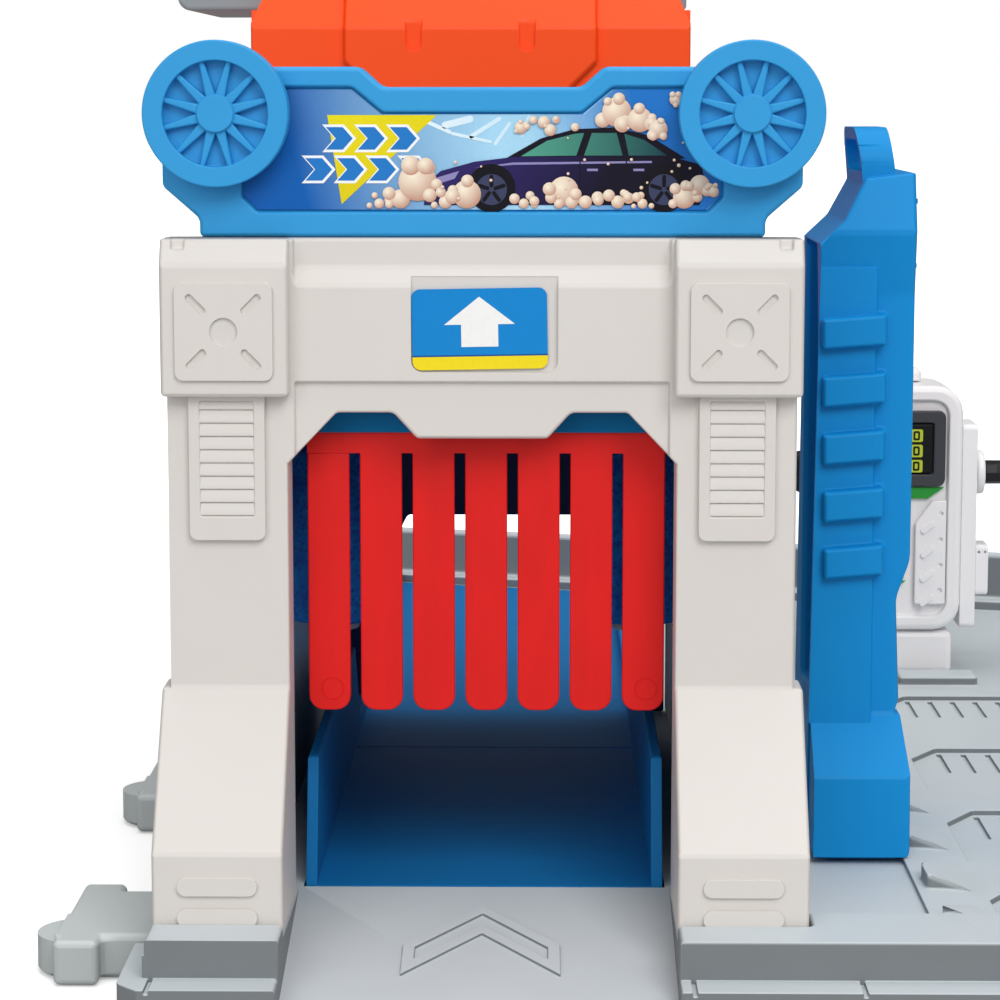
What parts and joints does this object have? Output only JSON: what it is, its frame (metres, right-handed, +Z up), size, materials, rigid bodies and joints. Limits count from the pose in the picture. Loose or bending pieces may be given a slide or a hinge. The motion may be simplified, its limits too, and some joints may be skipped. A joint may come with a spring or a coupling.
{
  "type": "toy parking garage",
  "caption": "Toy parking garage bay with an arched drive-through car wash, hanging curtain strips, wash rollers, a sign, a pylon, a fuel pump and a roof parking deck.",
  "frame": {"origin": "on the flat underside of the base, below the middle of the lane tray's front edge", "axes": "+Z up, +Y along the lane into the wash, +X to the right of the lane"},
  "size_m": [0.1872, 0.3076, 0.1355],
  "materials": {
    "base_grey": "moulded with a fine matte texture",
    "clip_grey": "moulded, matte",
    "tray_blue": "moulded, half gloss",
    "gate_ivory": "moulded, half gloss",
    "sign_blue": "moulded, half gloss",
    "printed_sheet": "printed self-adhesive sheet",
    "beam_blue": "moulded, half gloss",
    "curtain_red": "soft moulded, satin",
    "deep_blue": "moulded, half gloss",
    "foam_blue": "open-cell foam",
    "pylon_blue": "moulded, half gloss",
    "pump_white": "moulded, half gloss",
    "bezel_grey": "moulded, matte",
    "screen_black": "printed, gloss",
    "stripe_green": "printed sheet",
    "hose_black": "soft moulded",
    "housing_orange": "moulded, half gloss"
  },
  "bodies": {
    "playset": {"base_plate": "base_grey", "connector_front": "clip_grey", "connector_rear": "clip_grey", "wash_tray": "tray_blue", "front_gate": "gate_ivory", "gate_label": "printed_sheet", "sign_board": "sign_blue", "sign_sheet": "printed_sheet", "sign_wheel_left": "sign_blue", "sign_wheel_right": "sign_blue", "curtain_beam": "beam_blue", "curtain_header": "curtain_red", "tunnel_wall_left": "gate_ivory", "tunnel_wall_right": "gate_ivory", "tunnel_roof": "beam_blue", "rear_portal": "deep_blue", "pylon": "pylon_blue", "pump_foot": "pump_white", "pump_body": "pump_white", "pump_side_box": "pump_white", "pump_knob": "pump_white", "pump_bezel": "bezel_grey", "pump_screen": "screen_black", "pump_stripe": "stripe_green", "pump_stripe_low": "stripe_green", "pump_panel": "pump_white", "pump_holster": "pump_white", "pump_nozzle": "hose_black", "pump_hose": "hose_black", "pump_hose_fitting": "pump_white", "upper_housing": "housing_orange", "roof_deck": "base_grey"},
    "strip_1": {"curtain_strip_1": "curtain_red"},
    "strip_2": {"curtain_strip_2": "curtain_red"},
    "strip_3": {"curtain_strip_3": "curtain_red"},
    "strip_4": {"curtain_strip_4": "curtain_red"},
    "strip_5": {"curtain_strip_5": "curtain_red"},
    "strip_6": {"curtain_strip_6": "curtain_red"},
    "strip_7": {"curtain_strip_7": "curtain_red"},
    "roller_left": {"roller_sleeve_left": "foam_blue", "roller_spindle_left": "clip_grey"},
    "roller_right": {"roller_sleeve_right": "foam_blue", "roller_spindle_right": "clip_grey"}
  },
  "joints": [
    {"name": "strip_1_swing", "type": "hinge", "parent": "playset", "child": "strip_1", "pos_m": [-0.0206, -0.004, 0.0674], "axis": [1, 0, 0], "range_deg": [-75, 18]},
    {"name": "strip_2_swing", "type": "hinge", "parent": "playset", "child": "strip_2", "pos_m": [-0.0136, -0.004, 0.0674], "axis": [1, 0, 0], "range_deg": [-75, 18]},
    {"name": "strip_3_swing", "type": "hinge", "parent": "playset", "child": "strip_3", "pos_m": [-0.0066, -0.004, 0.0674], "axis": [1, 0, 0], "range_deg": [-75, 75]},
    {"name": "strip_4_swing", "type": "hinge", "parent": "playset", "child": "strip_4", "pos_m": [0.0004, -0.004, 0.0674], "axis": [1, 0, 0], "range_deg": [-75, 75]},
    {"name": "strip_5_swing", "type": "hinge", "parent": "playset", "child": "strip_5", "pos_m": [0.0074, -0.004, 0.0674], "axis": [1, 0, 0], "range_deg": [-75, 75]},
    {"name": "strip_6_swing", "type": "hinge", "parent": "playset", "child": "strip_6", "pos_m": [0.0144, -0.004, 0.0674], "axis": [1, 0, 0], "range_deg": [-75, 18]},
    {"name": "strip_7_swing", "type": "hinge", "parent": "playset", "child": "strip_7", "pos_m": [0.0214, -0.004, 0.0674], "axis": [1, 0, 0], "range_deg": [-75, 18]},
    {"name": "roller_left_spin", "type": "hinge", "parent": "playset", "child": "roller_left", "pos_m": [-0.021, 0.012, 0.055], "axis": [0, 0, 1], "continuous": true},
    {"name": "roller_right_spin", "type": "hinge", "parent": "playset", "child": "roller_right", "pos_m": [0.021, 0.012, 0.055], "axis": [0, 0, 1], "continuous": true}
  ]
}
